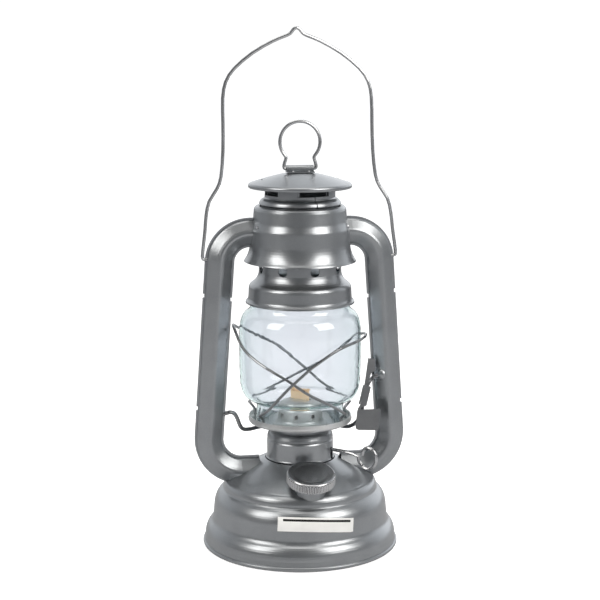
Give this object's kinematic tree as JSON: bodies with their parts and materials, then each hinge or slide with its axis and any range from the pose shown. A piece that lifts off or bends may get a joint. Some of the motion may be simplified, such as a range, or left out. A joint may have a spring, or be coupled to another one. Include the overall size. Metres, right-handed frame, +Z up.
{
  "type": "hurricane lantern",
  "caption": "Kerosene hurricane lantern: round tank, side air tubes, lifting clear globe with wire guards, sliding sprung chimney, flat wick, thumb lever and wire bail.",
  "frame": {"origin": "centre of the foot rim, on the surface the lantern stands on", "axes": "+Z up through the chimney, X through both side tubes with the lift lever on +X, -Y towards the front with the filler cap"},
  "size_m": [0.1354, 0.125, 0.3273],
  "materials": {
    "paint": "satin metallic silver",
    "bright_zinc": "galvanised wire",
    "plated_sheet": "satin plated",
    "glass": "clear, slightly green in the thick parts",
    "cotton": "woven cotton",
    "seal": "matte",
    "sticker": "white sticker with one black fill line"
  },
  "bodies": {
    "lantern": {"tank_body": "paint", "tank_bottom": "paint", "tank_partition": "paint", "air_dome": "paint", "burner_socket": "bright_zinc", "filler_neck": "paint", "fill_line_label": "sticker", "side_tube_left_front": "paint", "side_tube_left_back": "paint", "side_tube_right_front": "paint", "side_tube_right_back": "paint", "lever_pivot_cup": "paint", "crown": "paint", "crown_guide": "paint", "crown_rivets": "bright_zinc", "burner_base": "bright_zinc", "burner_collar": "paint", "wick_tube": "bright_zinc", "shaft_bracket": "bright_zinc", "chimney_spring": "bright_zinc"},
    "globe_carrier": {"globe_plate": "plated_sheet", "burner_dome": "plated_sheet", "globe": "glass", "globe_clips": "bright_zinc", "guard_wire_left": "bright_zinc", "guard_wire_right": "bright_zinc"},
    "chimney": {"globe_bell": "paint", "chimney_tube": "paint", "vent_collar": "paint", "chimney_cap": "paint", "ring_strap": "paint", "strap_rivets": "bright_zinc"},
    "loop": {"finger_ring": "bright_zinc"},
    "handle": {"bail": "bright_zinc"},
    "lift": {"lift_wire": "bright_zinc", "lift_lever": "plated_sheet"},
    "knob": {"wick_knob": "bright_zinc", "wick_wheels": "plated_sheet"},
    "wick_strip": {"wick": "cotton"},
    "cap_seal": {"filler_gasket": "seal"},
    "cap": {"filler_cap": "plated_sheet"}
  },
  "joints": [
    {"name": "lever_press", "type": "hinge", "parent": "lantern", "child": "lift", "pos_m": [-0.0483, 0, 0.0857], "axis": [0.9739, -0.0477, 0.2218], "range_deg": [0, 20]},
    {"name": "globe_lift", "type": "slide", "parent": "lantern", "child": "globe_carrier", "axis": [0, 0, 1], "range_m": [0, 0.0095]},
    {"name": "chimney_lift", "type": "slide", "parent": "globe_carrier", "child": "chimney", "axis": [0, 0, 1], "range_m": [0, 0.01], "stiffness_N_per_m": 200, "springref_m": -0.01, "deforming": ["chimney_spring"]},
    {"name": "ring_swing", "type": "hinge", "parent": "chimney", "child": "loop", "pos_m": [0, 0, 0.2403], "axis": [1, 0, 0], "range_deg": [-70, 70]},
    {"name": "bail_swing", "type": "hinge", "parent": "lantern", "child": "handle", "pos_m": [0, 0, 0.1845], "axis": [1, 0, 0], "range_deg": [-150, 150]},
    {"name": "knob_turn", "type": "hinge", "parent": "lantern", "child": "knob", "pos_m": [0.00298, 0.00337, 0.062], "axis": [0.749, -0.6626, 0], "range_deg": [-120, 120]},
    {"name": "wick_slide", "type": "slide", "parent": "lantern", "child": "wick_strip", "axis": [0, 0, 1], "range_m": [-0.00628, 0.00628]},
    {"name": "cap_rise", "type": "slide", "parent": "lantern", "child": "cap_seal", "axis": [0, -0.2672, 0.9636], "range_m": [0, 0.0061]},
    {"name": "cap_turn", "type": "hinge", "parent": "cap_seal", "child": "cap", "pos_m": [0, -0.0383, 0.0425], "axis": [0, -0.2672, 0.9636], "range_deg": [0, 720]}
  ],
  "couplings": [
    {"joint": "lever_press", "follows": "globe_lift", "rad_per_m": 36.7},
    {"joint": "knob_turn", "follows": "wick_slide", "rad_per_m": 333.3},
    {"joint": "cap_rise", "follows": "cap_turn", "m_per_rad": 0.00047746}
  ]
}
